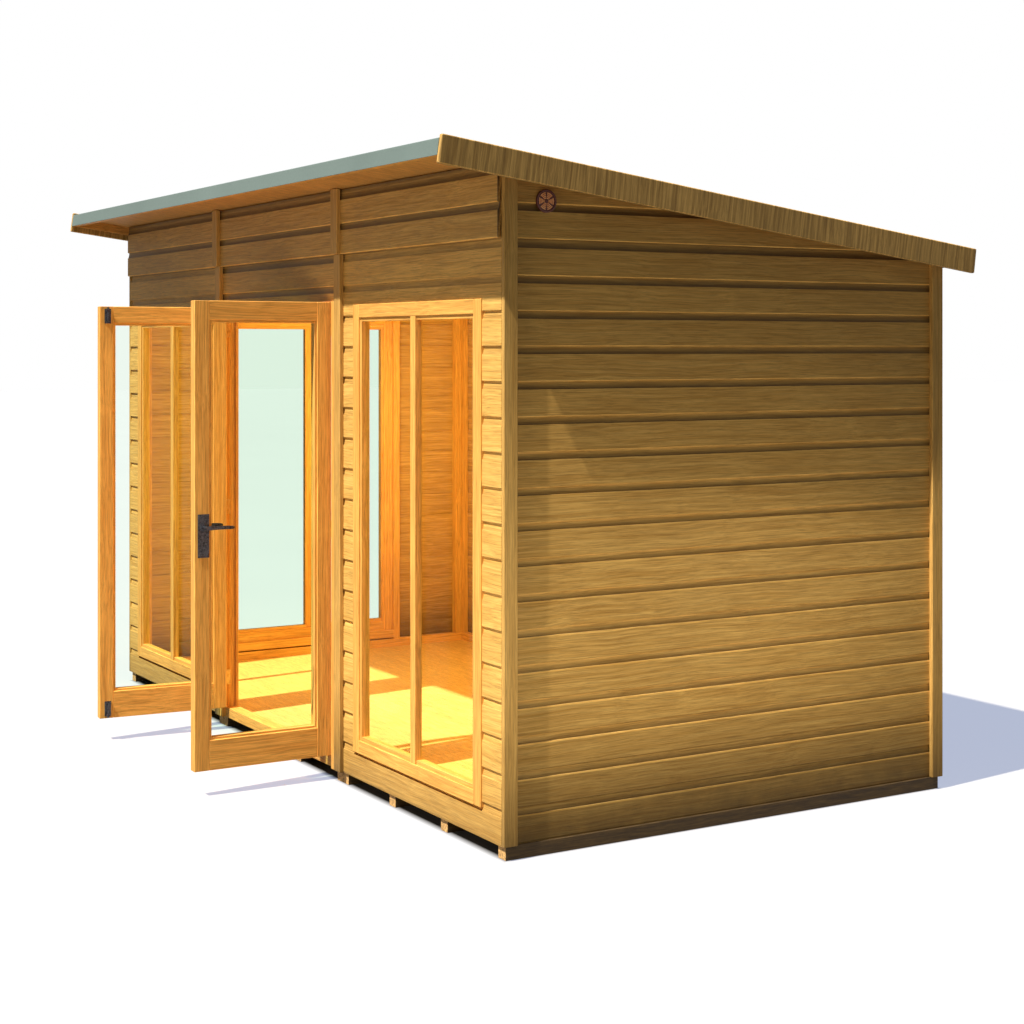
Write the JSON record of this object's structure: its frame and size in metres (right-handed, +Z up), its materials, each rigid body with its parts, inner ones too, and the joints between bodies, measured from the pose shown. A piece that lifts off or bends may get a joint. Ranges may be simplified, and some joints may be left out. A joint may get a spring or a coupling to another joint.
{
  "type": "summerhouse",
  "caption": "Pent-roofed timber summerhouse with double glazed doors that open outwards, floor-deep windows and a felted roof.",
  "frame": {"origin": "on the ground under the middle of the whole, measured with the doors as they stand open, square to the front on the right and 5 degrees further on the left", "axes": "+X to the right along the front, seen from the doors; -Y out of the doorway; +Z up"},
  "size_m": [3.732, 2.5062, 2.2591],
  "materials": {
    "joist_wood": "sawn pressure-treated softwood, dip-treated golden brown",
    "floor_wood": "planed tongue-and-groove softwood boards",
    "cladding_wood": "shiplap softwood boards, dip-treated golden brown",
    "framing_wood": "planed softwood studs and rails",
    "trim_wood": "planed softwood trims, dip-treated golden brown",
    "joinery_wood": "planed softwood door and window joinery",
    "roof_wood": "planed softwood roof boards and battens",
    "glass": "clear horticultural glass with a faint green tint",
    "felt": "mineral-faced roofing felt, blue-grey",
    "hinge_metal": "electro-brassed pressed steel",
    "dark_iron": "blackened iron, satin",
    "vent_plastic": "terracotta moulded plastic"
  },
  "bodies": {
    "house": {"floor_joists": "joist_wood", "floor_boards": "floor_wood", "right_wall_cladding": "cladding_wood", "left_wall_cladding": "cladding_wood", "back_wall_cladding": "cladding_wood", "gable_cladding": "cladding_wood", "right_wall_frame": "framing_wood", "left_wall_frame": "framing_wood", "back_wall_frame": "framing_wood", "gable_frames": "framing_wood", "front_cladding_left": "cladding_wood", "front_cladding_right": "cladding_wood", "door_head_cladding": "cladding_wood", "front_frames": "framing_wood", "upper_front_cladding": "cladding_wood", "upper_front_frame": "framing_wood", "door_frame": "joinery_wood", "door_sill": "joinery_wood", "corner_trims_left": "trim_wood", "corner_trims_right": "trim_wood", "front_cover_strips": "trim_wood", "back_cover_strips": "trim_wood", "window_frame_left": "joinery_wood", "window_frame_right": "joinery_wood", "window_frame_side": "joinery_wood", "window_glass": "glass", "roof_boards": "roof_wood", "roof_felt": "felt", "roof_purlins": "roof_wood", "roof_battens": "roof_wood", "bargeboard_left": "trim_wood", "bargeboard_right": "trim_wood", "vent_cover": "vent_plastic", "frame_hinge_leaves": "hinge_metal"},
    "left_door": {"left_door_frame": "joinery_wood", "left_door_glass": "glass", "left_door_hinges": "hinge_metal", "bolt_cases": "dark_iron"},
    "right_door": {"right_door_frame": "joinery_wood", "right_door_glass": "glass", "right_door_hinges": "hinge_metal", "lock_plates": "dark_iron"},
    "lever": {"lever_handles": "dark_iron"},
    "top_bolt": {"top_bolt": "dark_iron"},
    "bottom_bolt": {"bottom_bolt": "dark_iron"}
  },
  "joints": [
    {"name": "left_door_hinge", "type": "hinge", "parent": "house", "child": "left_door", "pos_m": [-0.54117, -0.71264, 0.936], "axis": [0, 0, -1], "range_deg": [-95, 25]},
    {"name": "right_door_hinge", "type": "hinge", "parent": "house", "child": "right_door", "pos_m": [0.54117, -0.71264, 0.936], "axis": [0, 0, 1], "range_deg": [-90, 30]},
    {"name": "lever_turn", "type": "hinge", "parent": "right_door", "child": "lever", "pos_m": [0.53667, -1.21831, 0.966], "axis": [-1, 0, 0], "range_deg": [0, 40], "stiffness_Nm_per_rad": 0.8, "springref_deg": -34.38},
    {"name": "top_bolt_slide", "type": "slide", "parent": "left_door", "child": "top_bolt", "axis": [0, 0, 1], "range_m": [0, 0.02]},
    {"name": "bottom_bolt_slide", "type": "slide", "parent": "left_door", "child": "bottom_bolt", "axis": [0, 0, -1], "range_m": [0, 0.02]}
  ]
}
